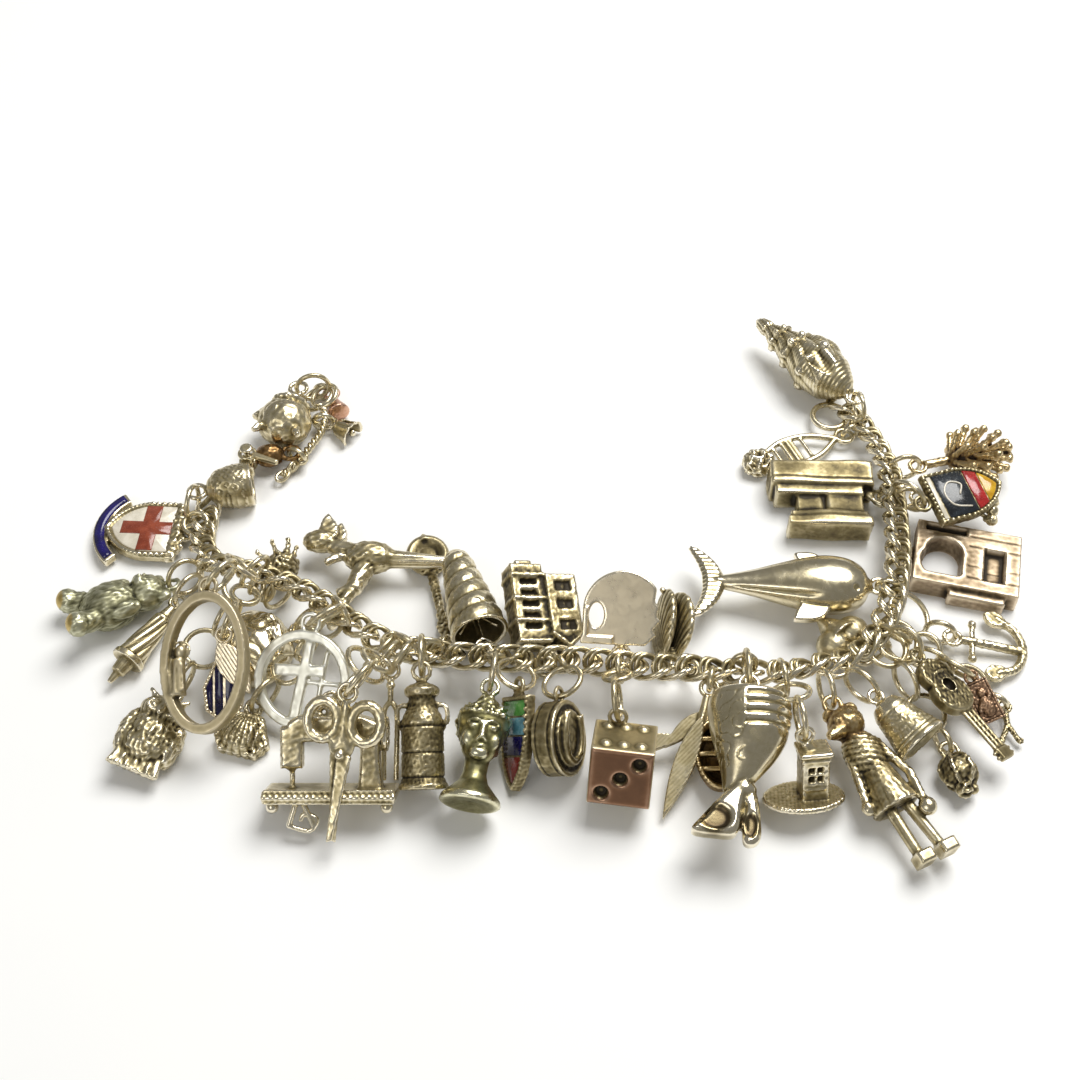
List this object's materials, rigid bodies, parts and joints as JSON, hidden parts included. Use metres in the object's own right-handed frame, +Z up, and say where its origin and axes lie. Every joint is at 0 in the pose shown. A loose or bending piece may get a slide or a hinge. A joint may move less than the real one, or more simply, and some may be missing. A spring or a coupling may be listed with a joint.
{
  "type": "charm bracelet",
  "caption": "Silver curb chain bracelet hung with many small figural charms, unclasped and laid open in a U, with a hinged clasp and a safety chain.",
  "frame": {"origin": "on the table under the middle of the bracelet's outline", "axes": "+X along the bracelet's length, clasp end at -X; +Y towards the open side of the U; +Z up from the table"},
  "size_m": [0.1534, 0.1088, 0.0201],
  "materials": {
    "silver": "warm sterling silver, polished highs and grey oxidised recesses",
    "dark_silver": "sterling silver left dark with tarnish",
    "satin_silver": "pale satin silver",
    "green_silver": "silver with a greenish tarnish",
    "gold_tone": "worn gilt silver",
    "copper_tone": "copper-pink tarnish",
    "satin_plate": "warm beige satin silver",
    "enamel": "glossy fired enamel in a silver rim"
  },
  "bodies": {
    "bracelet": {"clasp_body": "silver", "shield_cross": "enamel", "teddy_bear": "green_silver", "furled_umbrella": "silver", "owl": "dark_silver", "oval_hoop": "satin_plate", "enamel_badge": "enamel", "dome_purse": "silver", "spiky_crown": "dark_silver", "shell_box": "silver", "ring_pendant": "satin_silver", "kangaroo": "silver", "spoon": "dark_silver", "sewing_machine": "silver", "scissors": "silver", "tuning_fork": "silver", "milk_churn": "dark_silver", "tower": "silver", "bust": "silver", "town_house": "dark_silver", "palette": "satin_plate", "clam": "dark_silver", "pennant_shield": "enamel", "drum_locket": "dark_silver", "die": "copper_tone", "gum_leaves": "silver", "boat": "dark_silver", "big_fish": "silver", "cottage": "silver", "bear_figure": "gold_tone", "bell": "dark_silver", "guitar": "dark_silver", "caged_bead": "dark_silver", "relief_plaque": "copper_tone", "catapult": "dark_silver", "anchor": "silver", "stone_arch": "dark_silver", "touring_shield": "enamel", "three_knobs": "silver", "rod_tree": "gold_tone", "conch": "silver", "anvil": "silver", "sledge_runners": "silver", "dolphin": "silver", "puffed_heart": "silver", "cauldron": "dark_silver", "copper_cone": "copper_tone", "half_bell": "silver", "bronze_bead": "copper_tone", "chain_1": "silver", "chain_2": "silver", "chain_3": "silver", "chain_4": "silver", "chain_5": "silver", "chain_6": "silver", "safety_chain": "silver"},
    "clasp_tongue": {"clasp_tongue": "silver"}
  },
  "joints": [
    {"name": "clasp_hinge", "type": "hinge", "parent": "bracelet", "child": "clasp_tongue", "pos_m": [-0.05069, 0.0212, 0.0053], "axis": [0, 0, 1], "range_deg": [-30, 10]}
  ]
}
